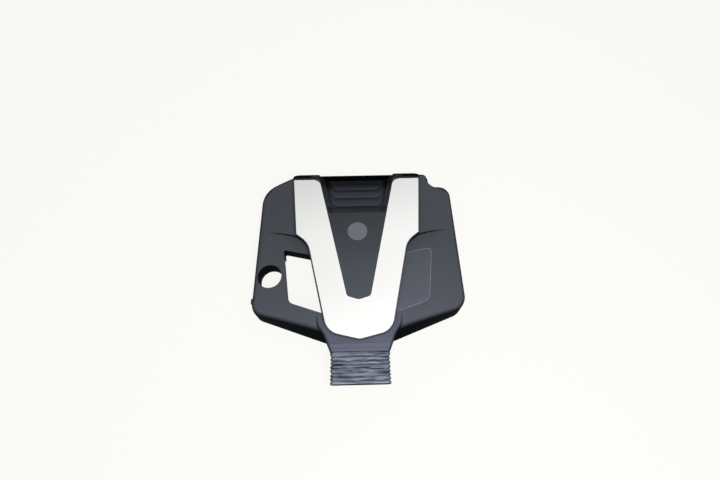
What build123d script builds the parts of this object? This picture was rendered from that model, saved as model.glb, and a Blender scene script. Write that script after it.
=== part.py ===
from build123d import *
import math
import os

os.makedirs("parts", exist_ok=True)

# Engine cover: a moulded black deck with a raised V ridge, a silver trim let into it, a louvre between
# the legs of the V and a rubber bellows on the front neck.
# Sizes are in millimetres. X runs to the right, Y to the rear, Z up from the rim of the skirt.

# Moulding
wall = 2.8
play = 0.3
overrun = 20

# Deck plan, a little wider at the front than at the rear, with a corner of its own at each end
half_width = 302
front_half_width = 306
rear_y = 323
front_left_y = -131
front_left_radius = 38
front_right_y = -125
front_right_radius = 50
nose_rim_y = -242
nose_top_y = -185
nose_radius = 60
rear_left_drop = 45
rear_left_run = 113
rear_left_radius = 78
rear_bend_radius = 30
notch_width = 66.5
notch_depth = 45
notch_outer_radius = 20
notch_inner_radius = 22
rear_right_radius = 36

# Deck section: a crowned top that bends down towards the nose, and raised shoulders behind a crease
deck_mid_z = 73
deck_side_z = 63.5
deck_top_z = 95
bend_y = -100
bend_radius = 200
bend_angle = 14
roll_radius = 18
shoulder_x = 182
shoulder_z = 80
shoulder_sag = 2
shoulder_fade_x = 272
shoulder_setback = 7
shoulder_roll = 8
shoulder_base_z = 40
crease_mid_y = 99
crease_edge_y = 121
crease_sag = 5

# Ridge: a V in plan, its top one long shallow arc along Y that bends down at the rear
ridge_rear_x = 205
ridge_rear_y = 321.5
ridge_rear_radius = 20
ridge_shoulder = (185.5, 99)
ridge_shoulder_radius = 6
ridge_waist = (149, 70)
ridge_waist_radius = 66
ridge_toe = (91.5, -190.5)
ridge_toe_radius = 52
ridge_tip_y = -212.5
ridge_tip_radius = 25
ridge_front_z = 73
ridge_top_z = 89
ridge_rear_z = 86.4
ridge_top_y = 140
ridge_bend_y = 296
ridge_bend_radius = 30
ridge_bend_angle = 40
ridge_edge_radius = 2
ridge_base_z = 40

# Silver trim in the ridge, held by staked studs, and the centre panel inside it
trim_border = 3.5
trim_rear_y = 293
trim_pocket = 2
trim_proud = 0.8
trim_edge_radius = 0.6
trim_corner_radius = 27
stud_places = [(156, 262), (139, 150), (97, 20), (76, -70), (50, -160)]
stud_radius = 2
stud_length = 5
panel_rear_x = 124.5
panel_front_x = 33.5
panel_front_y = -92
panel_front_radius = 12
panel_bow = 10.5
panel_drop = 1.4

# Louvre between the legs: a flange on a ledge, U shaped blades and an open outlet before the rear wall
louvre_front_y = 171
louvre_margin = 5
louvre_drop = 4.5
flange_thickness = 2.5
blade_fronts = [(173, 82.6), (196, 82), (227, 79), (258, 76)]
blade_angle = 15
blade_thickness = 2.5
blade_front_x = 76
blade_rear_x = 110
blade_side_step = 6
blade_corner_radius = 24
blade_overlap = 7
cheek = 2.2
blade_end_y = 301
end_bar = 2.5
end_bar_depth = 14
outlet_rim_z = 75
outlet_rim_sag = 4
outlet_rim_x = 114
outlet_flare_x = 150
outlet_flare_radius = 25
blade_rib = 2
blade_rib_x = 32
blade_rib_depth = 12

# Plain badge on the centre panel
badge_y = 106
badge_radius = 30
badge_sink = 1
badge_thickness = 3
badge_rim = 2.5
badge_dish = 0.8
badge_edge_radius = 0.6

# Neck, duct spigot and bellows
neck_root = (128, -118)
neck_side = (119, -168)
neck_waist = (100, -195)
neck_end = (81, -241)
neck_round = 40
neck_root_z = 69.5
neck_end_z = 69
neck_base_z = 24
neck_edge_radius = 12
seam_places = [-219, -231]
seam_width = 1.2
seam_depth = 0.8
spigot_length = 14
bellows_half_width = 81.5
bellows_half_height = 22
bellows_mid_z = 46
bellows_corner_radius = 14
bellows_end_y = -322.5
bellows_ridges = 8
bellows_depth = 4.5
bellows_wall = 1.8

# Oil filler opening
filler_inset = 44
filler_y = -23
filler_radius = 35
filler_collar = 2.2
filler_base_z = 10

# Left cut-out, and its outline scored on the right wing
cutout_rear = (-221, 58)
cutout_front = (-199.5, -103)
cutout_inner_x = -60
cutout_inner_rear_y = 21
cutout_inner_front_y = -150.5
cutout_rear_radius = 4
cutout_front_radius = 26
cutout_foot = 1.2
cutout_lip = 2.2
cutout_lip_z = 56
cutout_wall_y = 36
cutout_wall_z = 28
score_rear_radius = 12
score_width = 2
score_depth = 0.7

# Small lug on the left side
lug_y = -93
lug_length = 16
lug_reach = 3.5
lug_base_z = 44
lug_height = 8
lug_edge = 1.5

# Grommet holders, open on one side, and the waisted rubber grommets slid into them
grommet_front = (228, -108)
grommet_rear = (160, 262)
holder_base_z = 20
holder_wall = 3
holder_floor = 2.4
grommet_radius = 12.5
grommet_waist = 9
grommet_height = 10
grommet_flange = 2.5
grommet_edge_radius = 1
ball_radius = 5
gusset = 2
gusset_reach = 10
gusset_base_z = 32

# Underside ribs, given as the two ends of each on the right side
rib = 2
rib_depth = 9
ribs = [((152, 88), (310, 88)), ((213, 118), (213, 320)), ((205, 208), (310, 208)), ((228, -75), (310, -75))]

# Foam pads: plan corners of each pad
pad_thickness = 10
pad_radius = 8
pad_gap = 0.3
pads = {
    "sound_pad_centre": ((-60, -50), (60, 150)),
    "sound_pad_right": ((156, -64), (286, 62)),
    "sound_pad_rear_left": ((-286, 126), (-221, 200)),
    "sound_pad_rear_right": ((221, 126), (286, 200)),
}


def deck_plan(nose_y, inset):
    corners = [
        ((-front_half_width, front_left_y), front_left_radius),
        ((-half_width, rear_y - rear_left_drop), rear_left_radius),
        ((-half_width + rear_left_run, rear_y), rear_bend_radius),
        ((half_width - notch_width, rear_y), notch_outer_radius),
        ((half_width - notch_width, rear_y - notch_depth), notch_inner_radius),
        ((half_width, rear_y - notch_depth), rear_right_radius),
        ((front_half_width, front_right_y), front_right_radius),
        ((0, nose_y), nose_radius),
    ]
    with BuildSketch() as plan:
        with BuildLine():
            FilletPolyline(*[point for point, _ in corners], radius=[r for _, r in corners], close=True)
        make_face()
        if inset > 0:
            offset(amount=-inset, kind=Kind.INTERSECTION)
    return plan.sketch


def deck_block(inset):
    """Walls of the deck: upright at the sides and rear, raked back over the nose."""
    with BuildPart() as body:
        with BuildSketch():
            add(deck_plan(nose_rim_y, inset))
        with BuildSketch(Plane.XY.offset(deck_top_z)):
            add(deck_plan(nose_top_y, inset))
        loft(ruled=True)
        if inset > 0:
            extrude(deck_plan(nose_rim_y, inset), -overrun)
    return body.part


def roll_edges(body):
    """Edges where a crowned top meets the walls around it."""
    tops = body.faces().filter_by(lambda face: face.normal_at().Z > 0.9)
    wall_edges = body.faces().filter_by(lambda face: abs(face.normal_at().Z) < 0.9).edges()
    return tops.edges().filter_by(lambda edge: edge in wall_edges)


def crowned_deck(inset):
    """Deck with a crowned top and rolled edges, bent down towards the nose."""
    span = half_width + overrun
    side_z = deck_side_z - inset
    start_y = rear_y + overrun
    with BuildPart() as body:
        with BuildLine(Plane.YZ) as spine:
            level = Line((start_y, 0), (bend_y, 0))
            bend = JernArc(level @ 1, level % 1, bend_radius - deck_mid_z, bend_angle)
            Line(bend @ 1, bend @ 1 + (bend % 1) * half_width)
        with BuildSketch(Plane((0, start_y, 0), x_dir=(1, 0, 0), z_dir=(0, -1, 0))):
            with BuildLine():
                crown = ThreePointArc((-half_width, side_z), (0, deck_mid_z - inset), (half_width, side_z))
                right = Line(crown @ 1, crown @ 1 + (crown % 1) * overrun)
                left = Line(crown @ 0, crown @ 0 - (crown % 0) * overrun)
                Polyline(right @ 1, (span, -2 * overrun), (-span, -2 * overrun), left @ 1)
            make_face()
        sweep(path=spine.line)
        add(deck_block(inset), mode=Mode.INTERSECT)
        fillet(roll_edges(body), roll_radius - inset)
    return body.part


def shoulder_plan(inset):
    """Plan of the raised shoulders: behind the crease line, set back from the edge of the deck."""
    span = half_width + overrun
    inner_x = ridge_shoulder[0]
    inner_y = crease_mid_y + inset
    outer_y = crease_edge_y + inset
    with BuildSketch() as plan:
        add(deck_plan(nose_rim_y, inset + shoulder_setback))
        with BuildLine():
            right = SagittaArc((inner_x, inner_y), (span, outer_y), crease_sag)
            left = SagittaArc((-span, outer_y), (-inner_x, inner_y), crease_sag)
            Line(left @ 1, right @ 0)
            Polyline(right @ 1, (span, rear_y + span), (-span, rear_y + span), left @ 0)
        make_face(mode=Mode.INTERSECT)
    return plan.sketch


def shoulders(inset):
    """Raised rear of both wings, which fades into the crown before it reaches the side."""
    span = half_width + overrun
    top_z = shoulder_z - inset
    crown_fall = (deck_mid_z - deck_side_z) * (shoulder_fade_x / half_width) ** 2
    fade_z = deck_mid_z - crown_fall - inset
    with BuildPart() as body:
        with BuildSketch(Plane.XZ.offset(overrun - crease_mid_y)):
            with BuildLine():
                right = SagittaArc((shoulder_x, top_z), (shoulder_fade_x, fade_z), shoulder_sag)
                left = SagittaArc((-shoulder_fade_x, fade_z), (-shoulder_x, top_z), shoulder_sag)
                Line(left @ 1, right @ 0)
                right_end = Line(right @ 1, right @ 1 + (right % 1) * 2 * overrun)
                left_end = Line(left @ 0, left @ 0 - (left % 0) * 2 * overrun)
                Polyline(right_end @ 1, (span, shoulder_base_z), (-span, shoulder_base_z), left_end @ 1)
            make_face()
        extrude(amount=-rear_y)
        extrude(shoulder_plan(inset), deck_top_z, mode=Mode.INTERSECT)
        behind = roll_edges(body).filter_by(lambda edge: edge.center().Y > crease_edge_y + crease_sag)
        fillet(behind, shoulder_roll - inset)
    return body.part


def deck(inset):
    with BuildPart() as body:
        add([crowned_deck(inset), shoulders(inset)])
    return body.part


def ridge_plan(inset):
    right = [ridge_toe, ridge_waist, ridge_shoulder, (ridge_rear_x, ridge_rear_y)]
    radii = [ridge_toe_radius, ridge_waist_radius, ridge_shoulder_radius, ridge_rear_radius]
    left = [(-x, y) for x, y in reversed(right)]
    with BuildSketch() as plan:
        with BuildLine():
            all_radii = [ridge_tip_radius, *radii, *reversed(radii)]
            FilletPolyline((0, ridge_tip_y), *right, *left, radius=all_radii, close=True)
        make_face()
        if inset != 0:
            offset(amount=-inset, kind=Kind.INTERSECTION)
    return plan.sketch


def below_ridge(drop):
    """Block with the ridge's long arc as its top, lowered by drop."""
    with BuildPart() as body:
        with BuildSketch(Plane.YZ):
            with BuildLine():
                top = ThreePointArc(
                    (ridge_tip_y, ridge_front_z - drop),
                    (ridge_top_y, ridge_top_z - drop),
                    (ridge_bend_y, ridge_rear_z - drop),
                )
                bend = JernArc(top @ 1, top % 1, ridge_bend_radius, -ridge_bend_angle)
                tail = Line(bend @ 1, bend @ 1 + (bend % 1) * 2 * overrun)
                Polyline(
                    tail @ 1,
                    (ridge_rear_y + 2 * overrun, -overrun),
                    (ridge_tip_y - overrun, -overrun),
                    top @ 0 - (overrun, 0),
                    top @ 0,
                )
            make_face()
        extrude(amount=half_width, both=True)
    return body.part


def ridge(inset, drop):
    with BuildPart() as body:
        extrude(Plane.XY.offset(ridge_base_z) * ridge_plan(inset), deck_mid_z)
        add(below_ridge(drop), mode=Mode.INTERSECT)
        if inset == 0:
            fillet(roll_edges(body), ridge_edge_radius)
    return body.part


def panel_plan(inset):
    """The centre panel between the legs of the V, open to the rear."""
    slope = (panel_rear_x - panel_front_x) / (rear_y - panel_front_y)
    rear_x = panel_rear_x + slope * overrun
    with BuildSketch() as plan:
        with BuildLine():
            FilletPolyline(
                (-rear_x, rear_y + overrun),
                (-panel_front_x, panel_front_y),
                (0, panel_front_y - panel_bow),
                (panel_front_x, panel_front_y),
                (rear_x, rear_y + overrun),
                radius=[0, panel_front_radius, 2 * panel_front_radius, panel_front_radius, 0],
                close=True,
            )
        make_face()
        if inset != 0:
            offset(amount=-inset, kind=Kind.INTERSECTION)
    return plan.sketch


def trim_plan(clearance):
    """V of the silver trim: the ridge plan less its border, less the panel and the black leg ends."""
    with BuildSketch() as plan:
        add(ridge_plan(trim_border - clearance))
        add(panel_plan(clearance), mode=Mode.SUBTRACT)
        with Locations((0, trim_rear_y + clearance)):
            Rectangle(2 * half_width, half_width, align=(Align.CENTER, Align.MIN), mode=Mode.SUBTRACT)
        ends = plan.vertices().group_by(Axis.Y)[-1].sort_by(Axis.X)
        fillet(ends[1:3], trim_corner_radius + clearance)
    return plan.sketch


def ridge_layer(plan, drop, lift):
    """Upright prism of a plan between two copies of the ridge top, drop below it and lift above it."""
    with BuildPart() as body:
        extrude(Plane.XY.offset(-overrun) * plan, 2 * deck_top_z)
        add(below_ridge(-lift), mode=Mode.INTERSECT)
        add(below_ridge(drop), mode=Mode.SUBTRACT)
    return body.part


def disc_plan(radius, places):
    with BuildSketch() as plan:
        with Locations(*places):
            Circle(radius)
    return plan.sketch


def louvre_plan(inset, rear):
    """Recess of the louvre: the panel plan less a margin, from the louvre's front edge to the rear."""
    with BuildSketch() as plan:
        add(panel_plan(louvre_margin + inset))
        with Locations((0, louvre_front_y + inset)):
            depth = rear - louvre_front_y - inset
            Rectangle(2 * half_width, depth, align=(Align.CENTER, Align.MIN), mode=Mode.INTERSECT)
    return plan.sketch


def blade_plan(number, grow):
    """U shaped outline of a blade, straight at its front lip and running out over the rear edge."""
    front_y = blade_fronts[number][0]
    rear_x = blade_rear_x - number * blade_side_step
    with BuildSketch() as plan:
        with BuildLine():
            FilletPolyline(
                (-rear_x, rear_y),
                (-blade_front_x, front_y),
                (blade_front_x, front_y),
                (rear_x, rear_y),
                radius=[0, blade_corner_radius, blade_corner_radius, 0],
                close=True,
            )
        make_face()
        if grow != 0:
            offset(amount=grow, kind=Kind.INTERSECTION)
        with Locations((0, rear_y)):
            Rectangle(2 * half_width, half_width, align=(Align.CENTER, Align.MIN), mode=Mode.SUBTRACT)
    return plan.sketch


def above_rim(front_y):
    """Everything above the arched outlet rim, which flares up into the legs, from front_y to the rear."""
    end_z = outlet_rim_z - outlet_rim_sag
    with BuildPart() as body:
        with BuildSketch(Plane.XZ.offset(-front_y)) as section:
            with BuildLine():
                rim = ThreePointArc((-outlet_rim_x, end_z), (0, outlet_rim_z), (outlet_rim_x, end_z))
                Polyline(
                    rim @ 1,
                    (outlet_flare_x, ridge_rear_z),
                    (outlet_flare_x, 2 * deck_top_z),
                    (-outlet_flare_x, 2 * deck_top_z),
                    (-outlet_flare_x, ridge_rear_z),
                    rim @ 0,
                )
            make_face()
            fillet(section.vertices().group_by(Axis.Y)[0], outlet_flare_radius)
        extrude(amount=-half_width)
    return body.part


def neck_plan(inset):
    right = [neck_end, neck_waist, neck_side, neck_root]
    left = [(-x, y) for x, y in reversed(right)]
    with BuildSketch() as plan:
        with BuildLine():
            radii = [0, neck_round, neck_round, 0]
            FilletPolyline(*right, *left, radius=radii + radii, close=True)
        make_face()
        if inset > 0:
            offset(amount=-inset, kind=Kind.INTERSECTION)
    return plan.sketch


def neck(inset):
    with BuildPart() as body:
        with BuildSketch(Plane.YZ):
            Polygon(
                (neck_root[1], neck_root_z - inset),
                (neck_end[1], neck_end_z - inset),
                (neck_end[1], neck_base_z + inset),
                (neck_root[1], neck_base_z + inset),
                align=None,
            )
        extrude(amount=half_width, both=True)
        extrude(neck_plan(inset), deck_top_z, mode=Mode.INTERSECT)
        top = body.faces().sort_by(Axis.Z)[-1]
        fillet(top.edges().filter_by(lambda edge: abs(edge.center().X) > 1), neck_edge_radius - inset)
    return body.part


def duct(inset, start_y, length):
    """Rounded block in line with the bellows, its sides inset from the ridge crests."""
    with BuildPart() as body:
        with BuildSketch(Plane.XZ.offset(-start_y)):
            with Locations((0, bellows_mid_z)):
                RectangleRounded(
                    2 * (bellows_half_width - inset),
                    2 * (bellows_half_height - inset),
                    bellows_corner_radius - inset,
                )
        extrude(amount=length)
    return body.part


def cutout_plan(grow, rear_radius):
    """Left cut-out beside the ridge, grown outwards by grow."""
    with BuildSketch() as plan:
        with BuildLine():
            FilletPolyline(
                cutout_rear,
                cutout_front,
                (cutout_inner_x, cutout_inner_front_y),
                (cutout_inner_x, cutout_inner_rear_y),
                radius=[rear_radius, cutout_front_radius, 0, 0],
                close=True,
            )
        make_face()
        if grow != 0:
            offset(amount=grow, kind=Kind.INTERSECTION)
        add(ridge_plan(-cutout_foot), mode=Mode.SUBTRACT)
    return plan.sketch


def cutout_ring(inner, outer, rear_radius):
    with BuildSketch() as plan:
        add(cutout_plan(outer, rear_radius))
        add(cutout_plan(inner, rear_radius), mode=Mode.SUBTRACT)
    return plan.sketch


def lowered(body, drop):
    return Pos(0, 0, -drop) * body


# Inner form of the shell, and the crowned deck as one block for what is trimmed to its top
with BuildPart() as void:
    add(deck(wall))
    add(ridge(wall, trim_pocket + wall))
    add(neck(wall))

crown_block = crowned_deck(0)

recess_drop = panel_drop + louvre_drop + flange_thickness
filler_x = filler_inset - half_width
grommet_places = {
    "front_left": (-grommet_front[0], grommet_front[1]),
    "front_right": grommet_front,
    "rear_left": (-grommet_rear[0], grommet_rear[1]),
    "rear_right": grommet_rear,
}
trim_studs = [(side * x, y) for x, y in stud_places for side in (-1, 1)]
badge_studs = [(-badge_radius / 2, badge_y), (badge_radius / 2, badge_y)]
spigot_inset = bellows_depth + bellows_wall + play
holder_half = grommet_radius + play + holder_wall
standing = (Align.CENTER, Align.CENTER, Align.MIN)

# Ribs and grommet holders, trimmed to the underside
with BuildPart() as rib_net:
    for (x0, y0), (x1, y1) in ribs:
        for side in (-1, 1):
            with Locations((side * (x0 + x1) / 2, (y0 + y1) / 2, 0)):
                Box(x1 - x0 + rib, y1 - y0 + rib, deck_top_z, align=standing)
    add(void.part, mode=Mode.INTERSECT)
    add(lowered(void.part, rib_depth), mode=Mode.SUBTRACT)

with BuildPart() as holders:
    with Locations(*[(x, y, holder_base_z) for x, y in grommet_places.values()]):
        Box(2 * holder_half, 2 * holder_half, deck_top_z, align=standing)
    with Locations(*[(x, y, gusset_base_z) for x, y in grommet_places.values()]):
        Box(2 * (holder_half + gusset_reach), gusset, deck_top_z, align=standing)
    add(void.part, mode=Mode.INTERSECT)
    for x, y in grommet_places.values():
        open_end = (Align.CENTER, Align.MIN if y < 0 else Align.MAX, Align.MIN)
        inwards = 1 if y < 0 else -1
        with Locations((x, y - inwards * (grommet_radius + play), holder_base_z + holder_floor)):
            Box(2 * (grommet_radius + play), 2 * holder_half, deck_top_z, align=open_end, mode=Mode.SUBTRACT)
        with Locations((x, y - inwards * (grommet_waist + play), holder_base_z)):
            Box(2 * (grommet_waist + play), 2 * holder_half, deck_top_z, align=open_end, mode=Mode.SUBTRACT)

# Filler collar and the lip and rear wall of the cut-out, trimmed to the deck's top
with BuildPart() as collars:
    with Locations((filler_x, filler_y, filler_base_z)):
        Cylinder(filler_radius + filler_collar, deck_top_z, align=standing)
    extrude(Plane.XY.offset(cutout_lip_z) * cutout_ring(0, cutout_lip, cutout_rear_radius), deck_top_z)
    with BuildSketch(Plane.XY.offset(cutout_wall_z)):
        add(cutout_ring(0, cutout_lip, cutout_rear_radius))
        with Locations((0, cutout_wall_y)):
            Rectangle(2 * half_width, half_width, align=(Align.CENTER, Align.MIN), mode=Mode.INTERSECT)
    extrude(amount=deck_top_z)
    add(crown_block, mode=Mode.INTERSECT)

# Score line on the right wing, the mirror image of the cut-out's edge
with BuildPart() as score:
    line = cutout_ring(-score_width / 2, score_width / 2, score_rear_radius)
    extrude(Plane.XY.offset(ridge_base_z) * line, deck_top_z)
    mirror(about=Plane.YZ, mode=Mode.REPLACE)
    add(lowered(crown_block, score_depth), mode=Mode.SUBTRACT)

with BuildPart() as seam:
    with Locations(*[(0, y, bellows_mid_z) for y in seam_places]):
        Box(half_width, seam_width, deck_top_z, align=(Align.CENTER, Align.MAX, Align.MIN))
    add(neck(seam_depth), mode=Mode.SUBTRACT)

with BuildPart() as lug:
    with Locations((-front_half_width + wall / 2, lug_y, lug_base_z)):
        Box(lug_reach + wall / 2, lug_length, lug_height, align=(Align.MAX, Align.CENTER, Align.MIN))
    chamfer(lug.faces().sort_by(Axis.X)[0].edges(), lug_edge)

# Air outlet behind the blades, through the tub and over the rim
with BuildPart() as outlet:
    with BuildSketch(Plane.XY.offset(ridge_base_z)):
        add(blade_plan(0, play))
        with Locations((0, ridge_rear_y - wall)):
            Rectangle(2 * half_width, half_width, align=(Align.CENTER, Align.MIN), mode=Mode.SUBTRACT)
    extrude(amount=deck_top_z)
    add(above_rim(blade_end_y))

with BuildPart() as rim_floor:
    add(lowered(above_rim(blade_end_y - wall), wall))
    add(void.part, mode=Mode.INTERSECT)

with BuildPart() as rim_wall:
    with Locations((0, ridge_rear_y, ridge_base_z)):
        Box(2 * outlet_rim_x, wall, ridge_base_z, align=(Align.CENTER, Align.MAX, Align.MIN))

with BuildPart() as cuts:
    add(ridge_layer(trim_plan(play), trim_pocket, overrun))
    add(ridge_layer(panel_plan(0), panel_drop, overrun))
    add(ridge_layer(louvre_plan(0, rear_y + overrun), recess_drop, overrun))
    add(ridge_layer(disc_plan(badge_radius + play, [(0, badge_y)]), panel_drop + badge_sink, overrun))
    stud_holes = disc_plan(stud_radius + play, trim_studs + badge_studs)
    extrude(Plane.XY.offset(ridge_base_z) * stud_holes, deck_top_z)
    add(outlet.part)
    add(score.part)
    extrude(cutout_plan(0, cutout_rear_radius), deck_top_z)
    with Locations((filler_x, filler_y)):
        Cylinder(filler_radius, 4 * deck_top_z)
    add(seam.part)
    add(duct(spigot_inset + wall, neck_end[1] + 2 * wall, spigot_length + 4 * wall))

with BuildPart() as cover_shell:
    add([deck(0), ridge(0, 0), neck(0)])
    add(void.part, mode=Mode.SUBTRACT)
    add([rib_net.part, holders.part, collars.part, rim_floor.part, rim_wall.part, lug.part])
    # Tub of the louvre under the ridge, and the duct spigot on the neck
    add(ridge_layer(louvre_plan(-wall, ridge_rear_y - wall), recess_drop + wall, -trim_pocket))
    add(duct(spigot_inset, neck_end[1] + wall / 2, spigot_length + wall / 2))
    add(cuts.part, mode=Mode.SUBTRACT)

with BuildPart() as silver_trim:
    add(ridge_layer(trim_plan(0), trim_pocket, trim_proud))
    fillet(roll_edges(silver_trim), trim_edge_radius)
    stud_plan = disc_plan(stud_radius, trim_studs)
    add(ridge_layer(stud_plan, trim_pocket + stud_length, -trim_pocket / 2))


# Louvre: the side view of each blade, cut out of its plan
blade_fall = math.tan(math.radians(blade_angle))


def blade(number):
    front_y, front_z = blade_fronts[number]
    end_z = front_z - (blade_end_y - front_y) * blade_fall
    with BuildPart() as body:
        with BuildSketch(Plane.YZ):
            Polygon(
                (front_y, front_z),
                (blade_end_y, end_z),
                (blade_end_y, end_z - blade_thickness),
                (front_y, front_z - blade_thickness),
                align=None,
            )
        extrude(amount=half_width, both=True)
        extrude(blade_plan(number, 0), deck_top_z, mode=Mode.INTERSECT)
        if number + 1 < len(blade_fronts):
            extrude(blade_plan(number + 1, -blade_overlap), deck_top_z, mode=Mode.SUBTRACT)
    return body.part


# Cheeks drop from the flange to the outer blade's slope
first_y = blade_fronts[0][0]
first_under_z = blade_fronts[0][1] - blade_thickness
with BuildPart() as cheeks:
    with BuildSketch():
        add(blade_plan(0, 0))
        add(blade_plan(0, -cheek), mode=Mode.SUBTRACT)
        with Locations((0, blade_end_y)):
            Rectangle(2 * half_width, half_width, align=(Align.CENTER, Align.MIN), mode=Mode.SUBTRACT)
    extrude(amount=deck_top_z)
    add(below_ridge(panel_drop + louvre_drop), mode=Mode.INTERSECT)
    with BuildSketch(Plane.YZ):
        Polygon(
            (first_y - overrun, first_under_z + overrun * blade_fall),
            (rear_y + overrun, first_under_z - (rear_y + overrun - first_y) * blade_fall),
            (rear_y + overrun, -overrun),
            (first_y - overrun, -overrun),
            align=None,
        )
    extrude(amount=half_width, both=True, mode=Mode.SUBTRACT)

# A bar under the blades' ends and two ribs carry the blades
last_y, last_z = blade_fronts[-1]
last_under_z = last_z - blade_thickness - (blade_end_y - last_y) * blade_fall
with BuildPart() as blade_ribs:
    for side in (-1, 1):
        with BuildSketch(Plane.YZ.offset(side * blade_rib_x)):
            Polygon(
                (first_y, first_under_z - blade_thickness),
                (blade_end_y, last_under_z + blade_thickness / 2),
                (blade_end_y, last_under_z - blade_rib_depth),
                (first_y, first_under_z - blade_rib_depth),
                align=None,
            )
        extrude(amount=blade_rib / 2, both=True)
    with BuildSketch(Plane.XY.offset(last_under_z + blade_thickness / 2)):
        add(blade_plan(0, 0))
        with Locations((0, blade_end_y)):
            Rectangle(2 * half_width, end_bar, align=(Align.CENTER, Align.MAX), mode=Mode.INTERSECT)
    extrude(amount=-end_bar_depth)

with BuildPart() as louvre_insert:
    add(ridge_layer(louvre_plan(play, blade_end_y), recess_drop, -panel_drop - louvre_drop))
    extrude(blade_plan(0, 0), deck_top_z, mode=Mode.SUBTRACT)
    add([cheeks.part, blade_ribs.part])
    add([blade(number) for number in range(len(blade_fronts))])

badge_lift = badge_thickness - badge_sink - panel_drop
with BuildPart() as blank_badge:
    add(ridge_layer(disc_plan(badge_radius, [(0, badge_y)]), panel_drop + badge_sink, badge_lift))
    fillet(roll_edges(blank_badge), badge_edge_radius)
    dish = disc_plan(badge_radius - badge_rim, [(0, badge_y)])
    add(ridge_layer(dish, badge_dish - badge_lift, overrun), mode=Mode.SUBTRACT)
    pin_plan = disc_plan(stud_radius, badge_studs)
    add(ridge_layer(pin_plan, trim_pocket + wall, -panel_drop - badge_sink / 2))

# Bellows: one corrugated wall section swept half way round the duct, then mirrored
bellows_start_y = neck_end[1] - play
bellows_pitch = (bellows_start_y - bellows_end_y) / bellows_ridges
crest_z = bellows_mid_z + bellows_half_height
with BuildPart() as front_bellows:
    with BuildLine(Plane.XZ.offset(-bellows_start_y)) as half_way_round:
        FilletPolyline(
            (0, crest_z),
            (bellows_half_width, crest_z),
            (bellows_half_width, bellows_mid_z - bellows_half_height),
            (0, bellows_mid_z - bellows_half_height),
            radius=bellows_corner_radius,
        )
    with BuildSketch(Plane.YZ):
        outside = [(bellows_start_y, crest_z - bellows_depth)]
        for number in range(bellows_ridges):
            for share, depth in ((0.1, bellows_depth), (0.35, 0), (0.65, 0), (0.9, bellows_depth)):
                outside.append((bellows_start_y - (number + share) * bellows_pitch, crest_z - depth))
        outside.append((bellows_end_y, crest_z - bellows_depth))
        inside = [(y, z - bellows_wall) for y, z in reversed(outside)]
        Polygon(*outside, *inside, align=None)
    sweep(path=half_way_round.line)
    mirror(about=Plane.YZ)

grommets = {}
for corner, (x, y) in grommet_places.items():
    with BuildPart() as grommet:
        with Locations((x, y, holder_base_z - play)):
            Cylinder(holder_half, grommet_flange, align=(Align.CENTER, Align.CENTER, Align.MAX))
            Cylinder(grommet_waist, holder_floor + 2 * play, align=standing)
        with Locations((x, y, holder_base_z + holder_floor + play)):
            Cylinder(grommet_radius, grommet_height, align=standing)
        rims = grommet.edges().filter_by(GeomType.CIRCLE).group_by(Axis.Z)
        fillet(rims[0] + rims[-1], grommet_edge_radius)
        with Locations((x, y)):
            Cylinder(ball_radius, 2 * deck_top_z, mode=Mode.SUBTRACT)
    grommets["grommet_" + corner] = grommet.part

foam = {}
for pad_name, (low, high) in pads.items():
    with BuildPart() as pad:
        with BuildSketch():
            with Locations(((low[0] + high[0]) / 2, (low[1] + high[1]) / 2)):
                RectangleRounded(high[0] - low[0], high[1] - low[1], pad_radius)
        extrude(amount=deck_top_z)
        add(lowered(void.part, pad_gap), mode=Mode.INTERSECT)
        add(lowered(void.part, pad_gap + pad_thickness), mode=Mode.SUBTRACT)
    foam[pad_name] = pad.part

pieces = {
    "cover_shell": cover_shell.part,
    "silver_trim": silver_trim.part,
    "louvre_insert": louvre_insert.part,
    "blank_badge": blank_badge.part,
    "front_bellows": front_bellows.part,
    **grommets,
    **foam,
}
for name, piece in pieces.items():
    piece.label = name
    export_step(piece, f"parts/{name}.step")
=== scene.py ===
import math

import bmesh
import bpy
from bpy.props import FloatProperty, FloatVectorProperty, IntProperty, PointerProperty
from mathutils import Matrix, Vector, noise
from mathutils.bvhtree import BVHTree


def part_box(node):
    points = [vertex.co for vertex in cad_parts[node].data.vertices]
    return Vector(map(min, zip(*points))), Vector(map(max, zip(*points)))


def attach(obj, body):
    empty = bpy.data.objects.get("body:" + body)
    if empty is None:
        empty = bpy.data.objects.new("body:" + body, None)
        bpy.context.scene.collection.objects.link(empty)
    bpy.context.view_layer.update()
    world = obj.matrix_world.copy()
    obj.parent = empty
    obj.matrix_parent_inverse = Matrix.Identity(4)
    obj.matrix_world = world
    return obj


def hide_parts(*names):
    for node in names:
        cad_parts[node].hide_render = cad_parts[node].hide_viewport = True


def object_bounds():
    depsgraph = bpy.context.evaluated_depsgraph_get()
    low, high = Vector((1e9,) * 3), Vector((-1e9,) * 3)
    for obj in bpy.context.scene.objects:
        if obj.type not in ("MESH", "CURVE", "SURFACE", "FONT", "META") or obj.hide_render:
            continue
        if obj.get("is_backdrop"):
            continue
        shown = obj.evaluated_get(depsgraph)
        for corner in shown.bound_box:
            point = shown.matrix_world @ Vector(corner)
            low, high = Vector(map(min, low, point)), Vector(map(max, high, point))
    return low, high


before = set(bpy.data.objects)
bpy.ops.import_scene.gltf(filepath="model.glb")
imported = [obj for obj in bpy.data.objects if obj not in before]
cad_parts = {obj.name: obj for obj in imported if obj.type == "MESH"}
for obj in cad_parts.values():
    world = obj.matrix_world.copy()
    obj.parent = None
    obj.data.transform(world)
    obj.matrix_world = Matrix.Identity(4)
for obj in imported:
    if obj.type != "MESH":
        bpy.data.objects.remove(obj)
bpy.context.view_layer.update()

bl_info = {
    "name": "Engine cover",
    "version": (1, 0, 0),
    "blender": (4, 5, 0),
    "location": "View3D > Sidebar > Engine cover",
    "description": "Finishes, rubber bellows and foam pads of a moulded engine cover",
    "category": "Object",
}

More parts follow.
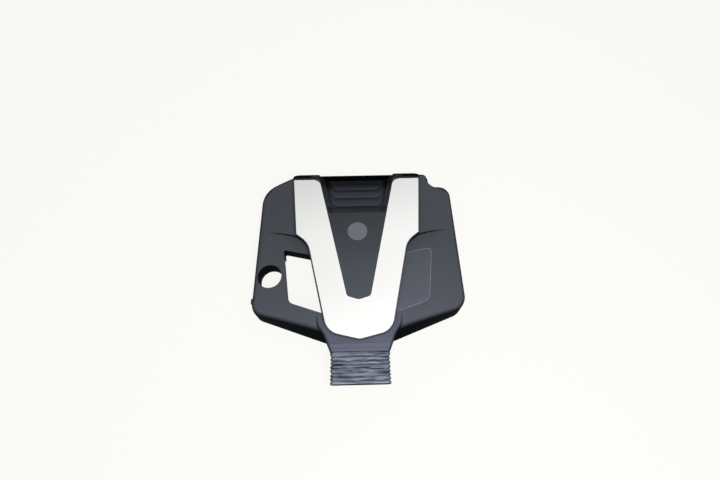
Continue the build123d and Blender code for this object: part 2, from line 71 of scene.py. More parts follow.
MM = 0.001

# Edges (a, b, c) of areas in plan, in metres: a point is inside where a * x + b * y + c is above zero for each.
# The scored plate on the right wing, and the centre panel, which gets painted shade towards the rear
PLATE_EDGES = ((1, 0, -0.06), (-1, 0.1335, 0.2133), (0.2298, -1, 0.0072), (-0.3405, 1, 0.1709))
PANEL_EDGES = ((-1, 0.2193, 0.0537), (0, 1, 0.098))
# The leg ends behind the trim, darkened as painted shade
SHADED_LEG_END_EDGES = ((-1, 0, 0.2045), (0, 1, -0.2925))
# The louvre's bars beside the blades
END_BAR_EDGES = ((1, -0.1875, -0.0405),)
# The floor under the V, where no light falls
UNDER_V_EDGES = ((-1, 0.16, 0.098), (0, 1, 0.24), (0, -1, 0.31))

# Places in metres: the neck's first seam, the lip of the louvre's first full blade, from one lip to the next,
# where painted shade darkens the louvre towards the outlet, and the middle of the bellows
SEAM_Y = -0.219
BLADE_FIRST_Y = 0.196
BLADE_PITCH = 0.031
LOUVRE_REAR_Y = (0.252, 0.281)
BELLOWS_MIDDLE_Z = 0.046
# Places in millimetres, of the trim's studs on the right leg and of the scored plate's corners
TRIM_STUDS = ((156, 262), (139, 150), (97, 20), (76, -70), (50, -160))
SCORE_CORNERS = ((60, 21), (221, 58), (199.5, -103), (60, -150.5))

# Wear of the bellows as noise: cells per metre round it, cells per ridge along it, and where the noise starts
WORN_RIDGES = (34, 1.6, (0, 0, 5))
WANDERING = (26, 0.8, (0, 9, 0))
CRUMPLING = (48, 4, (0, 0, 3))
CRUMPLE_DEPTH = 0.0004
# Lumps of a foam pad: cells per metre and height in metres
LUMP_CELLS = 35
LUMP_HEIGHT = 0.0006

PHOTO_WIDTH_PX = 720
SENSOR_WIDTH_MM = 36.0
# Soft boxes: place and width in metres
KEY_BOX = ((0.35, -0.85, 1.45), 1.2)
FILL_BOX = ((0.5, 1.3, 1.5), 1.4)
# Shares of the floor's colour that it has where it is lit, and that it shows of itself to the camera
FLOOR_LIT = 0.86
FLOOR_SHOWN = 0.9


def colour(name, description, default):
    return FloatVectorProperty(name=name, description=description, default=default, subtype="COLOR", min=0, max=1)


def length(name, description, default):
    return FloatProperty(name=name, description=description, default=default, unit="LENGTH", precision=5)


class CoverColours(bpy.types.PropertyGroup):
    """Colours of the cover's finishes, as linear values"""

    # deck: its grey where it looks up is painted light from above.
    deck: colour("Deck", "Grained plastic where it looks up, greyed by heat", (0.066, 0.074, 0.086))
    dusty: colour("Dusty deck", "Grained plastic on the nose and neck, where dust has settled", (0.135, 0.142, 0.195))
    # wall: near black as painted shade on the skirts and on what looks to the rear.
    wall: colour("Walls", "Grained plastic on the skirts and what looks to the rear", (0.0022, 0.0026, 0.0030))
    underside: colour("Underside", "Plain plastic inside the cover", (0.022, 0.023, 0.026))
    # score: colour of the pale line in the scored groove.
    score: colour("Score line", "Whitened plastic in the scored line", (0.27, 0.28, 0.32))
    silver: colour("Silver", "Paint on the V trim", (0.88, 0.88, 0.875))
    louvre: colour("Louvre", "Blades between the legs of the V", (0.036, 0.042, 0.053))
    badge: colour("Badge", "Plain plaque on the centre panel", (0.085, 0.092, 0.108))
    rubber: colour("Rubber", "Bellows in its grooves", (0.026, 0.032, 0.047))
    dust: colour("Dust", "Dry dust on the bellows' ridges", (0.29, 0.335, 0.42))
    grommet: colour("Grommets", "Rubber sockets under the deck", (0.010, 0.010, 0.011))
    foam: colour("Foam", "Sound pads under the deck", (0.055, 0.056, 0.059))
    floor: colour("Floor", "Floor and backdrop", (0.995, 0.99, 0.965))


class CoverSizes(bpy.types.PropertyGroup):
    """Sizes of the surface detail and of the soft pieces"""

    grain: length("Grain", "Width of one cell of the moulded grain", 0.0011)
    grain_depth: length("Grain depth", "Height of the moulded grain", 0.00006)
    flake: length("Flake", "Width of one flake in the silver paint", 0.0006)
    bellows_wall: length("Bellows wall", "Thickness of the rubber", 0.0018)
    bellows_depth: length("Groove depth", "Depth of a groove below the ridges beside it", 0.0045)
    bellows_ridges: IntProperty(name="Ridges", description="Ridges along the bellows", default=8, min=2)
    bellows_wander: length("Wander", "How far a worn ridge wanders along the bellows", 0.0030)
    pad_thickness: length("Pad thickness", "Foam in the middle of a pad", 0.0085)
    pad_rim: length("Pad rim", "Width of the pressed edge of a pad", 0.014)
    stake_radius: length("Stake radius", "Melted head on each stud of the trim", 0.0042)
    # score_width: width of the pale line inside the scored groove.
    score_width: length("Score width", "Whitened line inside the scored groove", 0.0016)


class CoverStage(bpy.types.PropertyGroup):
    """Camera and light"""

    target: FloatVectorProperty(
        name="Target", description="Point in the middle of the picture", default=(0.007, 0.076, 0.090), subtype="XYZ"
    )
    elevation: FloatProperty(
        name="Elevation", description="Camera above the horizon", default=math.radians(65), subtype="ANGLE"
    )
    yaw: FloatProperty(
        name="Yaw", description="Camera turned to the left of the cover", default=math.radians(1.3), subtype="ANGLE"
    )
    distance: length("Distance", "Camera from its target", 1.15)
    pixel: length("Pixel", "Width of one picture point at the target", 0.00296)
    world: FloatProperty(name="World", description="Soft light from all around", default=0.42, min=0)
    key: FloatProperty(name="Key", description="Soft box above the front", default=19, min=0, unit="POWER")
    fill: FloatProperty(name="Fill", description="Soft box above the rear", default=3, min=0, unit="POWER")


class CoverSettings(bpy.types.PropertyGroup):
    """All settings of the engine cover"""

    colours: PointerProperty(type=CoverColours)
    sizes: PointerProperty(type=CoverSizes)
    stage: PointerProperty(type=CoverStage)


class Wire:
    """A socket in a node tree. Arithmetic on wires and numbers adds Math nodes."""

    def __init__(self, tree, socket=None):
        self.tree = tree
        self.socket = socket

    def node(self, kind, settings=None, inputs=None, output=0):
        """Adds a node, sets it up, then fills its inputs with values or wires."""
        made = self.tree.nodes.new(kind)
        for name, value in (settings or {}).items():
            setattr(made, name, value)
        for name, value in (inputs or {}).items():
            if isinstance(value, Wire):
                self.tree.links.new(value.socket, made.inputs[name])
            else:
                made.inputs[name].default_value = value
        return Wire(self.tree, None if output is None else made.outputs[output])

    def math(self, operation, first, second=0.0):
        return self.node("ShaderNodeMath", {"operation": operation}, {0: first, 1: second})

    def __add__(self, other):
        return self.math("ADD", self, other)

    __radd__ = __add__

    def __sub__(self, other):
        return self.math("SUBTRACT", self, other)

    def __rsub__(self, other):
        return self.math("SUBTRACT", other, self)

    def __mul__(self, other):
        return self.math("MULTIPLY", self, other)

    __rmul__ = __mul__

    def ramp(self, low, high):
        """0 at low and 1 at high, held beyond them."""
        return self.node("ShaderNodeMapRange", {"clamp": True}, {0: self, 1: low, 2: high})

    def axis(self, number):
        return self.node("ShaderNodeSeparateXYZ", None, {0: self}, number)

    def size(self):
        """This number without its sign."""
        return self.math("ABSOLUTE", self)

    def stretched(self, scale):
        return self.node("ShaderNodeMapping", None, {"Vector": self, "Scale": scale})

    def noise(self, scale, detail=2.0, roughness=0.5):
        sockets = {"Vector": self, "Scale": scale, "Detail": detail, "Roughness": roughness}
        return self.node("ShaderNodeTexNoise", None, sockets)

    def cells(self, scale, output="Distance"):
        return self.node("ShaderNodeTexVoronoi", None, {"Vector": self, "Scale": scale}, output)

    def blend(self, first, second):
        """Colour between two colours, by this wire."""
        return self.node("ShaderNodeMix", {"data_type": "RGBA"}, {0: self, 6: first, 7: second}, 2)

    def scaled(self, factor):
        """This colour or vector times a number."""
        return self.node("ShaderNodeVectorMath", {"operation": "SCALE"}, {0: self, "Scale": factor})

    def bump(self, distance, strength=1.0):
        return self.node("ShaderNodeBump", None, {"Height": self, "Distance": distance, "Strength": strength})


def opaque(rgb):
    return (*rgb, 1.0)


def finish(name, **constants):
    """A new material: its start wire, its place on the piece, and its shader with the constants set."""
    material = bpy.data.materials.new(name)
    material.use_nodes = True
    tree = material.node_tree
    shader = tree.nodes["Principled BSDF"]
    for socket, value in constants.items():
        shader.inputs[socket.replace("_", " ")].default_value = value
    start = Wire(tree)
    place = start.node("ShaderNodeTexCoord", None, None, "Object")
    return material, start, place, shader


def connect(shader, **wires):
    for socket, wire in wires.items():
        wire.tree.links.new(wire.socket, shader.inputs[socket.replace("_", " ")])


def matt_share(start, shader, share, rgb):
    """Gives part of a surface over to a matt colour without sheen."""
    matt = start.node("ShaderNodeBsdfDiffuse", None, {"Color": opaque(rgb)})
    both = start.node("ShaderNodeMixShader", None, {0: share, 1: Wire(start.tree, shader.outputs[0]), 2: matt})
    start.tree.links.new(both.socket, start.tree.nodes["Material Output"].inputs["Surface"])


def inside(x, y, edges, soft):
    """1 where a * x + b * y + c is above zero for each edge (a, b, c), 0 elsewhere."""
    share = 1.0
    for a, b, c in edges:
        share = (a * x + b * y + c).ramp(0, soft) * share
    return share


def grained_black(colours, sizes):
    """Fine grained satin moulding: black on its walls as painted shade, grey where it looks up as painted light, with
    painted shade on the leg ends and on the centre panel towards the rear; dusty towards the neck.
    """
    material, start, place, shader = finish("black_plastic", Specular_IOR_Level=0.04)
    normal = start.node("ShaderNodeNewGeometry", None, None, "Normal")
    up = normal.axis(2)
    rearward = normal.axis(1)
    x = place.axis(0)
    y = place.axis(1)
    off_middle = x.size()
    cells = place.cells(1 / sizes.grain)
    cloud = place.noise(7, 3)

    scored = inside(x, y, PLATE_EDGES, 0.002)
    panel = inside(off_middle, y, PANEL_EDGES, 0.001)
    # Painted shade: the leg ends behind the trim are darker.
    shaded_leg_end = inside(off_middle, y, SHADED_LEG_END_EDGES, 0.001)
    neck = y.ramp(-0.10, -0.20) * off_middle.ramp(0.15, 0.08)
    cuff = y.ramp(SEAM_Y + 0.0005, SEAM_Y - 0.0005)
    dusty = (0.2 + 0.4 * cloud + 0.7 * cuff) * neck + (0.2 + 0.12 * scored) * y.ramp(0.08, -0.14)
    deck = dusty.blend(opaque(colours.deck), opaque(colours.dusty))
    mottle = 0.82 + 0.26 * cloud + 0.14 * cells
    # Painted shade: the centre panel darkens towards the rear.
    shaded = 0.42 * y.ramp(-0.02, 0.19) + 0.3 * y.ramp(0.19, 0.27)
    tone = mottle * (1 + 0.16 * scored) * (1 - shaded * panel)
    # Painted light and shade: grey where the moulding looks up, near black on walls and rear faces.
    painted_top_light = up.ramp(0.35, 0.95) * (1 - rearward.ramp(0.06, 0.3)) * (1 - 0.4 * shaded_leg_end)
    top = painted_top_light.blend(opaque(colours.wall), deck.scaled(tone))
    base = up.ramp(-0.2, -0.6).blend(top, opaque(colours.underside))
    rough = 0.5 + 0.1 * cloud + 0.06 * cells
    connect(shader, Base_Color=base, Roughness=rough, Normal=cells.bump(sizes.grain_depth, 0.7))
    # Painted shade: the walls give most of their sheen over to matt near black.
    matt_share(start, shader, 0.75 * (1 - painted_top_light) * up.ramp(-0.6, -0.2), colours.wall)
    return material


def pale_score(colours):
    """A pale line in the scored groove, broken up along the line."""
    material, start, place, shader = finish("scored_plastic", Specular_IOR_Level=0.1)
    broken = place.noise(90, 3).ramp(0.3, 0.62)
    base = broken.blend(opaque([c * 0.5 for c in colours.score]), opaque(colours.score))
    connect(shader, Base_Color=base, Roughness=0.55 + 0.15 * broken, Normal=broken.bump(0.00005, 0.4))
    return material


def silver_paint(colours, sizes):
    """Silver paint with fine flake under a thin clear coat, greyer towards the rear as painted shade."""
    material, start, place, shader = finish("silver_paint", Metallic=0.25, Coat_Weight=0.2, Coat_Roughness=0.12)
    flakes = place.cells(1 / sizes.flake, "Color").axis(0)
    cloud = place.noise(5, 2)
    # Painted shade: the silver greys towards the rear of the legs.
    painted_rear_shade = place.axis(1).ramp(0.08, 0.30)
    tone = (0.25 + 0.3 * cloud + 0.45 * flakes).blend(
        opaque([c * 0.95 for c in colours.silver]), opaque([min(1.0, c * 1.04) for c in colours.silver])
    )
    peel = place.noise(320, 1)
    shaded_silver = [c * share for c, share in zip(colours.silver, (0.47, 0.5, 0.52))]
    base = ((0.2 + 0.34 * cloud) * painted_rear_shade).blend(tone, opaque(shaded_silver))
    connect(shader, Base_Color=base, Roughness=0.3 + 0.08 * flakes, Normal=peel.bump(0.00003, 0.4))
    return material


def louvre_black(colours, sizes):
    """Plain satin black, a little dusty towards each lip, with painted shade behind each lip, on the front ramp,
    towards the outlet and below the blades.
    """
    material, start, place, shader = finish("louvre_black", Specular_IOR_Level=0.05)
    up = start.node("ShaderNodeNewGeometry", None, None, "Normal").axis(2)
    cells = place.cells(1.3 / sizes.grain)
    y = place.axis(1)
    dusty = up.ramp(0.6, 1.0) * place.noise(40, 3).ramp(0.3, 0.75)
    # Dust and painted shade: each blade is lighter at its lip and darker behind it, under the next lip.
    behind = (y - BLADE_FIRST_Y) * (1 / BLADE_PITCH)
    behind_lip = behind.math("FRACT", behind)
    ramp = y.ramp(BLADE_FIRST_Y - 0.001, BLADE_FIRST_Y)
    end_bar = inside(place.axis(0).size(), y, END_BAR_EDGES, 0.002)
    # Painted shade: darker on the ramp before the first lip and towards the outlet; the end bars are darker too.
    darkened = (1 - 0.88 * y.ramp(*LOUVRE_REAR_Y)) * (0.62 + 0.38 * ramp) * (1 - 0.4 * end_bar)
    tone = (1.5 - 0.5 * behind_lip) * darkened
    # Painted shade: near black where the blades don't look up.
    lit = up.ramp(0.3, 0.9).blend(opaque(colours.wall), opaque(colours.louvre))
    base = (0.3 * dusty).blend(lit, opaque(colours.deck)).scaled(tone)
    connect(shader, Base_Color=base, Roughness=0.46 + 0.12 * dusty, Normal=cells.bump(sizes.grain_depth, 0.5))
    # Painted shade: faces that don't look up give most of their sheen over to matt near black.
    matt_share(start, shader, 0.8 - 0.6 * up.ramp(0.3, 0.9), colours.wall)
    return material


def badge_satin(colours):
    """Satin plaque with a finely turned face."""
    material, start, place, shader = finish("badge_black", Coat_Weight=0.25, Coat_Roughness=0.2)
    specks = place.noise(900, 2)
    base = specks.ramp(0.3, 0.8).blend(opaque(colours.badge), opaque([c * 1.5 for c in colours.badge]))
    connect(shader, Base_Color=base, Roughness=0.3 + 0.1 * specks, Normal=specks.bump(0.00003, 0.3))
    return material


def dusty_rubber(colours):
    """Worn rubber: dark in the grooves, dry dust in streaks and patches along the ridges, darker on its sides and
    near black inside as painted shade.
    """
    material, start, place, shader = finish("bellows_rubber", Specular_IOR_Level=0.15)
    crest = start.node("ShaderNodeAttribute", {"attribute_name": "crest"}, None, "Fac")
    streak = place.stretched((20, 310, 310)).noise(1, 3, 0.6)
    cracks = place.stretched((11, 240, 240)).noise(1, 2).ramp(0.45, 0.36)
    patch = place.stretched((24, 45, 45)).noise(1, 3)
    specks = place.noise(800, 2)
    normal = start.node("ShaderNodeNewGeometry", None, None, "Normal")
    # Dust settles on faces that look up; the sides are kept dark as painted shade.
    settled_dust_and_shade = (0.3 + 0.7 * normal.axis(2).ramp(-0.2, 0.7)) * (1 - 0.8 * normal.axis(0).size().ramp(0.4, 0.8))
    blotches = (patch - 0.5) + (specks - 0.5) * 0.3
    dusty = crest * 0.55 + streak.ramp(0.38, 0.62) * 0.55 + blotches - 0.5 * cracks
    outside = (dusty.ramp(0.1, 1.0) * settled_dust_and_shade).blend(opaque(colours.rubber), opaque(colours.dust))
    # Clean rubber and painted shade: the inside of the bellows is near black.
    outward = normal.axis(0) * place.axis(0) + normal.axis(2) * (place.axis(2) - BELLOWS_MIDDLE_Z)
    base = outward.ramp(0.004, -0.004).blend(outside, opaque(colours.grommet))
    connect(shader, Base_Color=base, Roughness=0.6 + 0.25 * streak, Normal=(streak + 0.2 * specks).bump(0.0004, 0.4))
    return material


def grommet_rubber(colours):
    """Matt black rubber with a trace of moulding bloom."""
    material, start, place, shader = finish("grommet_rubber")
    bloom = place.noise(260, 3)
    base = bloom.ramp(0.45, 0.8).blend(opaque(colours.grommet), opaque([c * 2.6 for c in colours.grommet]))
    connect(shader, Base_Color=base, Roughness=0.62 + 0.2 * bloom, Normal=bloom.bump(0.0001, 0.4))
    return material


def open_foam(colours):
    """Open foam: pores a millimetre wide, paler where the rim is pressed."""
    material, start, place, shader = finish("foam", Specular_IOR_Level=0.1)
    pores = place.cells(750)
    lumps = place.noise(45, 3)
    pressed = start.node("ShaderNodeAttribute", {"attribute_name": "pressed"}, None, "Fac")
    tone = pores.ramp(0.05, 0.6) * 0.7 + lumps * 0.3
    base = tone.blend(opaque([c * 0.35 for c in colours.foam]), opaque([c * 1.5 for c in colours.foam]))
    worn = (0.4 * pressed).blend(base, opaque([c * 2 for c in colours.foam]))
    connect(shader, Base_Color=worn, Roughness=0.85 + 0.1 * lumps, Normal=(pores + 0.5 * lumps).bump(0.0008, 0.8))
    return material


def settings(context):
    return context.scene.engine_cover


def dress(material, *names):
    """Gives CAD nodes a finish."""
    for name in names:
        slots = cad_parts[name].data.materials
        slots.clear()
        slots.append(material)


def add_piece(name, mesh, material, slot, *stands_for):
    """Links a finished mesh as a piece on the cover."""
    shape = bpy.data.meshes.new(name)
    mesh.to_mesh(shape)
    mesh.free()
    shape.materials.append(material)
    piece = bpy.data.objects.new(name, shape)
    bpy.context.scene.collection.objects.link(piece)
    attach(piece, "root")
    if stands_for:
        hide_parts(*stands_for)
    return piece


def facet_tree(name):
    """Search tree of a CAD node's facets."""
    return BVHTree.FromObject(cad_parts[name], bpy.context.evaluated_depsgraph_get())


class OBJECT_OT_cover_moulding(bpy.types.Operator):
    """Finishes the black moulding and the louvre let into it"""

    bl_idname = "object.cover_moulding"
    bl_label = "Moulding and louvre"

    def execute(self, context):
        chosen = settings(context)
        dress(grained_black(chosen.colours, chosen.sizes), "cover_shell")
        dress(louvre_black(chosen.colours, chosen.sizes), "louvre_insert")
        return {"FINISHED"}


class OBJECT_OT_cover_trim(bpy.types.Operator):
    """Finishes the silver trim and the plain badge"""

    bl_idname = "object.cover_trim"
    bl_label = "Trim and badge"

    def execute(self, context):
        chosen = settings(context)
        dress(silver_paint(chosen.colours, chosen.sizes), "silver_trim")
        dress(badge_satin(chosen.colours), "blank_badge")
        return {"FINISHED"}


class OBJECT_OT_cover_grommets(bpy.types.Operator):
    """Finishes the four rubber sockets under the deck"""

    bl_idname = "object.cover_grommets"
    bl_label = "Grommets"

    def execute(self, context):
        chosen = settings(context)
        names = [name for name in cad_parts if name.startswith("grommet_")]
        dress(grommet_rubber(chosen.colours), *names)
        return {"FINISHED"}


class OBJECT_OT_cover_bellows(bpy.types.Operator):
    """Makes the worn rubber bellows on the neck"""

    bl_idname = "object.cover_bellows"
    bl_label = "Bellows"

    corner_radius: length("Corner", "Corner of the bellows' section", 0.014)
    steps: IntProperty(name="Steps", description="Rings of faces in one ridge", default=10, min=4)
    cell: length("Cell", "Width of one face along a side", 0.0024)
    cuff: FloatProperty(name="Cuff", description="Ridges along the bellows to the first crest", default=0.7, min=0.2)

    def execute(self, context):
        chosen = settings(context)
        sizes = chosen.sizes
        low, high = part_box("front_bellows")
        middle = (low + high) / 2
        half = (high - low) / 2
        core = Vector((half.x - self.corner_radius, 0, half.z - self.corner_radius))

        mesh = bmesh.new()
        crest = mesh.verts.layers.float.new("crest")
        corners = [mesh.verts.new((x * half.x, 0, z * half.z)) for x, z in ((-1, -1), (1, -1), (1, 1), (-1, 1))]
        mesh.faces.new(corners)
        bmesh.ops.bevel(
            mesh, geom=corners, offset=self.corner_radius, offset_type="OFFSET", segments=8, profile=0.5,
            affect="VERTICES", material=-1,
        )
        bmesh.ops.delete(mesh, geom=list(mesh.faces), context="FACES_ONLY")
        for side in [e for e in mesh.edges if e.calc_length() > half.z / 2]:
            bmesh.ops.subdivide_edges(mesh, edges=[side], cuts=round(side.calc_length() / self.cell))
        ring = list(mesh.edges)
        pitch = (high.y - low.y) / sizes.bellows_ridges

        for number in range(sizes.bellows_ridges * self.steps + 1):
            along = number / self.steps
            if number:
                made = bmesh.ops.extrude_edge_only(mesh, edges=ring)["geom"]
                ring = [e for e in made if isinstance(e, bmesh.types.BMEdge) and all(v in made for v in e.verts)]
            for vert in {v for e in ring for v in e.verts}:
                flat = Vector((vert.co.x, 0, vert.co.z))
                inner = Vector((max(-core.x, min(core.x, flat.x)), 0, max(-core.z, min(core.z, flat.z))))
                outward = (flat - inner).normalized()
                loose = max(0.0, min(1.0, along, sizes.bellows_ridges - along - 1 / self.steps))
                ridge = self.ridge(min(along, sizes.bellows_ridges - 1 / self.steps))
                worn = self.wear(flat, along, WORN_RIDGES)
                wander = self.wear(flat, along, WANDERING)
                crumple = self.wear(flat, along, CRUMPLING)
                height = ridge * min(1.0, 0.9 + 0.4 * worn * loose)
                depth = sizes.bellows_depth * (1 - height) + CRUMPLE_DEPTH * (1 + crumple) * loose
                vert.co = inner + outward * (self.corner_radius - depth)
                vert.co.y = -along * pitch + (wander + 0.3 * crumple) * sizes.bellows_wander * loose
                vert[crest] = ridge if along > self.cuff else self.cuff_dust_and_shade(along)
        bmesh.ops.translate(mesh, verts=mesh.verts, vec=(middle.x, high.y, middle.z))
        bmesh.ops.recalc_face_normals(mesh, faces=mesh.faces)
        for face in mesh.faces:
            face.smooth = True
        rubber = dusty_rubber(chosen.colours)
        bellows = add_piece("worn_bellows", mesh, rubber, "bellows_rubber", "front_bellows")
        wall = bellows.modifiers.new("wall", "SOLIDIFY")
        wall.thickness = sizes.bellows_wall
        wall.offset = -1
        return {"FINISHED"}

    def wear(self, flat, along, kind):
        """Noise of one kind of wear at a place on the section, so many ridges along."""
        across, lengthwise, origin = kind
        return noise.noise(Vector((flat.x * across, along * lengthwise, flat.z * across)) + Vector(origin))

    def cuff_dust_and_shade(self, along):
        """Dust on the smooth cuff: half as much as on a ridge beyond, and none at its edge, which leaves a dark line
        of painted shade where it meets the neck.
        """
        return 0.5 * min(1.0, along * 4)

    def ridge(self, along):
        """Height from 0 in a groove to 1 on a ridge, so many ridges along, after a smooth cuff."""
        if along < self.cuff:
            return 1 - 0.2 * min(1.0, (self.cuff - along) / (self.cuff - 1 / self.steps))
        turn = (along - self.cuff + 0.5) % 1
        return (1 - abs(2 * turn - 1)) ** 0.75


class OBJECT_OT_cover_pads(bpy.types.Operator):
    """Makes the foam sound pads under the deck"""

    bl_idname = "object.cover_pads"
    bl_label = "Sound pads"

    cell: length("Cell", "Width of one face of a pad", 0.0035)
    corner_radius: length("Corner", "Corner of a pad in plan", 0.008)
    pressed: length("Pressed", "Thickness of a pad at its pressed rim", 0.003)

    def execute(self, context):
        chosen = settings(context)
        foam = open_foam(chosen.colours)
        for name in sorted(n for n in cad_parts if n.startswith("sound_pad_")):
            pad = add_piece(name.replace("sound_", "foam_"), self.pad(name, chosen.sizes), foam, "foam", name)
        return {"FINISHED"}

    def pad(self, name, sizes):
        low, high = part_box(name)
        middle = (low + high) / 2
        half = (high - low) / 2
        deck = facet_tree(name)
        core = Vector((half.x - self.corner_radius, half.y - self.corner_radius, 0))
        mesh = bmesh.new()
        pressed = mesh.verts.layers.float.new("pressed")
        across, along = (max(8, round(2 * size / self.cell)) for size in (half.x, half.y))
        bmesh.ops.create_grid(mesh, x_segments=across, y_segments=along, size=1)
        bmesh.ops.scale(mesh, verts=mesh.verts, vec=(half.x, half.y, 1))
        for vert in mesh.verts:
            inner = Vector((max(-core.x, min(core.x, vert.co.x)), max(-core.y, min(core.y, vert.co.y)), 0))
            out = vert.co - inner
            if out.length > self.corner_radius:
                vert.co = inner + out.normalized() * self.corner_radius
        for vert in mesh.verts:
            place = vert.co + middle
            above = middle.lerp(place, 0.985)
            above.z = high.z + half.z
            under = deck.ray_cast(above, Vector((0, 0, -1)))[0] or deck.find_nearest(above)[0]
            vert.co = Vector((place.x, place.y, under.z))
        made = bmesh.ops.extrude_face_region(mesh, geom=list(mesh.faces))["geom"]
        lower = [v for v in made if isinstance(v, bmesh.types.BMVert)]
        for vert in lower:
            local = vert.co - middle
            edge = self.edge_distance(local, half)
            swell = min(1.0, edge / sizes.pad_rim)
            swell = math.sin(swell * math.pi / 2) ** 1.5
            lumps = noise.noise(vert.co * LUMP_CELLS) * LUMP_HEIGHT
            thickness = self.pressed + (sizes.pad_thickness - self.pressed) * swell + lumps * swell
            vert.co.z -= thickness
            vert[pressed] = 1 - swell
        bmesh.ops.recalc_face_normals(mesh, faces=mesh.faces)
        for face in mesh.faces:
            face.smooth = True
        return mesh

    def edge_distance(self, local, half):
        return max(0.0, min(half.x - abs(local.x), half.y - abs(local.y)))


class OBJECT_OT_cover_stakes(bpy.types.Operator):
    """Makes the melted heads on the studs that hold the trim"""

    bl_idname = "object.cover_stakes"
    bl_label = "Stake heads"

    def execute(self, context):
        chosen = settings(context)
        mesh = bmesh.new()
        shell = facet_tree("cover_shell")
        for x, y in TRIM_STUDS:
            for side in (-1, 1):
                self.head(mesh, shell, Vector((side * x, y, 0)) * MM, chosen.sizes.stake_radius)
        for face in mesh.faces:
            face.smooth = True
        add_piece("stake_heads", mesh, bpy.data.materials["silver_paint"], "silver_paint")
        return {"FINISHED"}

    def head(self, mesh, shell, place, radius):
        """A melted dome on the underside of the moulding, round one stud."""
        beside = place + Vector((0, radius * 0.8, 0))
        under = shell.ray_cast(beside, Vector((0, 0, 1)))[0]
        made = bmesh.ops.create_uvsphere(mesh, u_segments=24, v_segments=12, radius=radius)["verts"]
        geom = made + list({e for v in made for e in v.link_edges} | {f for v in made for f in v.link_faces})
        cut = bmesh.ops.bisect_plane(
            mesh, geom=geom, dist=radius / 1000, plane_co=(0, 0, 0), plane_no=(0, 0, 1), clear_outer=True
        )
        dome = [v for v in cut["geom"] if isinstance(v, bmesh.types.BMVert)]
        bmesh.ops.edgeloop_fill(mesh, edges=[e for e in cut["geom_cut"] if isinstance(e, bmesh.types.BMEdge)])
        bmesh.ops.scale(mesh, verts=dome, vec=(1, 1, 0.72))
        bmesh.ops.translate(mesh, verts=dome, vec=(place.x, place.y, under.z))


class OBJECT_OT_cover_score(bpy.types.Operator):
    """Makes the pale line in the groove scored on the right wing"""

    bl_idname = "object.cover_score"
    bl_label = "Score line"

    rear_radius: length("Rear corner", "Corner of the line at the rear", 0.012)
    front_radius: length("Front corner", "Corner of the line at the front", 0.026)
    step: length("Step", "Length of one face of the line", 0.004)
    ridge_foot: length("Ridge foot", "Height above which the line would lie on the ridge", 0.0745)
    lift: length("Lift", "Height of the line above the bottom of its groove", 0.0002)

    def execute(self, context):
        chosen = settings(context)
        width = chosen.sizes.score_width
        shell = facet_tree("cover_shell")
        mesh = bmesh.new()
        corners = [mesh.verts.new((x * MM, y * MM, 0)) for x, y in SCORE_CORNERS]
        mesh.faces.new(corners)
        rounded = ((corners[1], self.rear_radius), (corners[2], self.front_radius))
        cuts = [(corner, self.tangent_length(corner, radius)) for corner, radius in rounded]
        for corner, run in cuts:
            bmesh.ops.bevel(
                mesh, geom=[corner], offset=run, offset_type="OFFSET", segments=8, profile=0.5,
                affect="VERTICES", material=-1,
            )
        for edge in list(mesh.edges):
            pieces = round(edge.calc_length() / self.step)
            if pieces > 1:
                bmesh.ops.subdivide_edges(mesh, edges=[edge], cuts=pieces - 1)
        loop = [part.vert.co.copy() for part in list(mesh.faces)[0].loops]
        bmesh.ops.delete(mesh, geom=list(mesh.verts), context="VERTS")
        pairs = []
        for before, here, after in zip(loop[-1:] + loop, loop, loop[1:] + loop[:1]):
            along = (after - before).normalized()
            aside = Vector((-along.y, along.x, 0)) * width / 2
            pairs.append((mesh.verts.new(here - aside), mesh.verts.new(here + aside)))
        for (right, left), (next_right, next_left) in zip(pairs, pairs[1:] + pairs[:1]):
            mesh.faces.new((right, next_right, next_left, left))
        for vert in mesh.verts:
            bottom = shell.ray_cast(vert.co + Vector((0, 0, 1)), Vector((0, 0, -1)))[0]
            vert.co.z = bottom.z + self.lift
        on_ridge = [v for v in mesh.verts if v.co.z > self.ridge_foot or v.co.x < SCORE_CORNERS[0][0] * MM + width]
        bmesh.ops.delete(mesh, geom=on_ridge, context="VERTS")
        bmesh.ops.recalc_face_normals(mesh, faces=mesh.faces)
        line = add_piece("score_line", mesh, pale_score(chosen.colours), "black_plastic")
        body = line.modifiers.new("body", "SOLIDIFY")
        body.thickness = 2 * self.lift
        body.offset = -1
        return {"FINISHED"}

    def tangent_length(self, corner, radius):
        """How far from a corner an arc of this radius starts."""
        first, second = (edge.other_vert(corner).co - corner.co for edge in corner.link_edges)
        return radius / math.tan(first.angle(second) / 2)


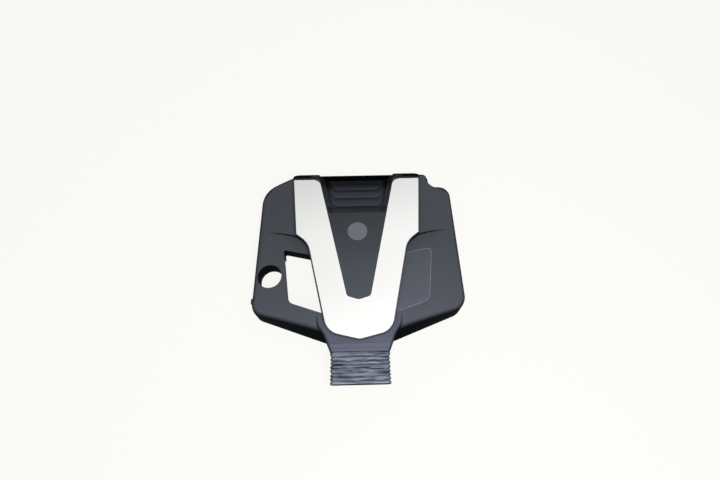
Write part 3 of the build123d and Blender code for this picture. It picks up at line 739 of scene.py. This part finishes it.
class OBJECT_OT_cover_stage(bpy.types.Operator):
    """Makes the floor, the light and the camera"""

    bl_idname = "object.cover_stage"
    bl_label = "Stage"

    floor_size: length("Floor", "Half the width of the floor", 6.0)

    def execute(self, context):
        chosen = settings(context)
        self.floor(context, chosen.colours)
        self.world(context, chosen)
        stage = chosen.stage
        self.soft_box(context, "key", stage.key, *KEY_BOX)
        self.soft_box(context, "fill", stage.fill, *FILL_BOX)
        self.camera(context, stage)
        context.scene.view_settings.view_transform = "Standard"
        return {"FINISHED"}

    def seen(self, start):
        """1 for rays that show the background itself, 0 for those that only carry its light."""
        rays = ("Camera", "Glossy", "Transmission")
        camera, glossy, through = (start.node("ShaderNodeLightPath", None, None, f"Is {ray} Ray") for ray in rays)
        return (camera + glossy + through).ramp(0, 1)

    def floor(self, context, colours):
        mesh = bmesh.new()
        bmesh.ops.create_grid(mesh, x_segments=1, y_segments=1, size=self.floor_size)
        shape = bpy.data.meshes.new("floor")
        mesh.to_mesh(shape)
        mesh.free()
        floor = bpy.data.objects.new("floor", shape)
        context.scene.collection.objects.link(floor)
        material = bpy.data.materials.new("pale_floor")
        material.use_nodes = True
        tree = material.node_tree
        tree.nodes.clear()
        start = Wire(tree)
        lit = start.node("ShaderNodeBsdfDiffuse", None, {"Color": opaque([c * FLOOR_LIT for c in colours.floor])})
        plain = start.node("ShaderNodeEmission", None, {"Color": opaque(colours.floor), "Strength": 1.0})
        place = start.node("ShaderNodeTexCoord", None, None, "Object")
        covered = inside(place.axis(0).size(), place.axis(1), UNDER_V_EDGES, 0.01)
        whitened = self.seen(start) * (FLOOR_SHOWN - FLOOR_SHOWN * covered)
        pale = start.node("ShaderNodeMixShader", None, {0: whitened, 1: lit, 2: plain})
        clear = start.node("ShaderNodeBsdfTransparent")
        below = start.node("ShaderNodeNewGeometry", None, None, "Backfacing")
        surface = start.node("ShaderNodeMixShader", None, {0: below, 1: pale, 2: clear})
        start.node("ShaderNodeOutputMaterial", None, {"Surface": surface}, None)
        shape.materials.append(material)
        floor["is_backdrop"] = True

    def world(self, context, chosen):
        world = bpy.data.worlds.new("studio")
        context.scene.world = world
        world.use_nodes = True
        start = Wire(world.node_tree)
        background = world.node_tree.nodes["Background"]
        background.inputs["Color"].default_value = opaque(chosen.colours.floor)
        strength = self.seen(start) * (1 - chosen.stage.world) + chosen.stage.world
        start.tree.links.new(strength.socket, background.inputs["Strength"])

    def soft_box(self, context, name, power, place, size):
        lamp = bpy.data.lights.new(name, "AREA")
        lamp.energy = power
        lamp.size = size
        box = bpy.data.objects.new(name, lamp)
        box.location = place
        aim = Vector(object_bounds()[0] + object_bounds()[1]) / 2 - Vector(place)
        box.rotation_euler = aim.to_track_quat("-Z", "Y").to_euler()
        context.scene.collection.objects.link(box)

    def camera(self, context, stage):
        lens = bpy.data.cameras.new("camera")
        lens.sensor_width = SENSOR_WIDTH_MM
        lens.lens = SENSOR_WIDTH_MM * stage.distance / stage.pixel / PHOTO_WIDTH_PX
        camera = bpy.data.objects.new("camera", lens)
        turn = Matrix.Rotation(-stage.yaw, 3, "Z")
        look = turn @ Vector((0, math.cos(stage.elevation), -math.sin(stage.elevation)))
        camera.location = Vector(stage.target) - stage.distance * look
        camera.rotation_euler = look.to_track_quat("-Z", "Y").to_euler()
        context.scene.collection.objects.link(camera)
        context.scene.camera = camera


class VIEW3D_PT_engine_cover(bpy.types.Panel):
    """Lists the steps and settings of the engine cover"""

    bl_idname = "VIEW3D_PT_engine_cover"
    bl_label = "Engine cover"
    bl_space_type = "VIEW_3D"
    bl_region_type = "UI"
    bl_category = "Engine cover"

    def draw(self, context):
        for step in STEPS:
            self.layout.operator(step.bl_idname)
        chosen = settings(context)
        for group in (chosen.colours, chosen.sizes, chosen.stage):
            box = self.layout.box()
            for name in group.bl_rna.properties.keys():
                if name not in ("rna_type", "name"):
                    box.prop(group, name)


STEPS = (
    OBJECT_OT_cover_moulding,
    OBJECT_OT_cover_trim,
    OBJECT_OT_cover_grommets,
    OBJECT_OT_cover_bellows,
    OBJECT_OT_cover_pads,
    OBJECT_OT_cover_stakes,
    OBJECT_OT_cover_score,
    OBJECT_OT_cover_stage,
)
CLASSES = (CoverColours, CoverSizes, CoverStage, CoverSettings, *STEPS, VIEW3D_PT_engine_cover)


def register():
    for made in CLASSES:
        bpy.utils.register_class(made)
    bpy.types.Scene.engine_cover = PointerProperty(type=CoverSettings)


def unregister():
    del bpy.types.Scene.engine_cover
    for made in reversed(CLASSES):
        bpy.utils.unregister_class(made)


def main():
    register()
    for step in STEPS:
        group, name = step.bl_idname.split(".")
        getattr(getattr(bpy.ops, group), name)()


if __name__ == "__main__":
    main()
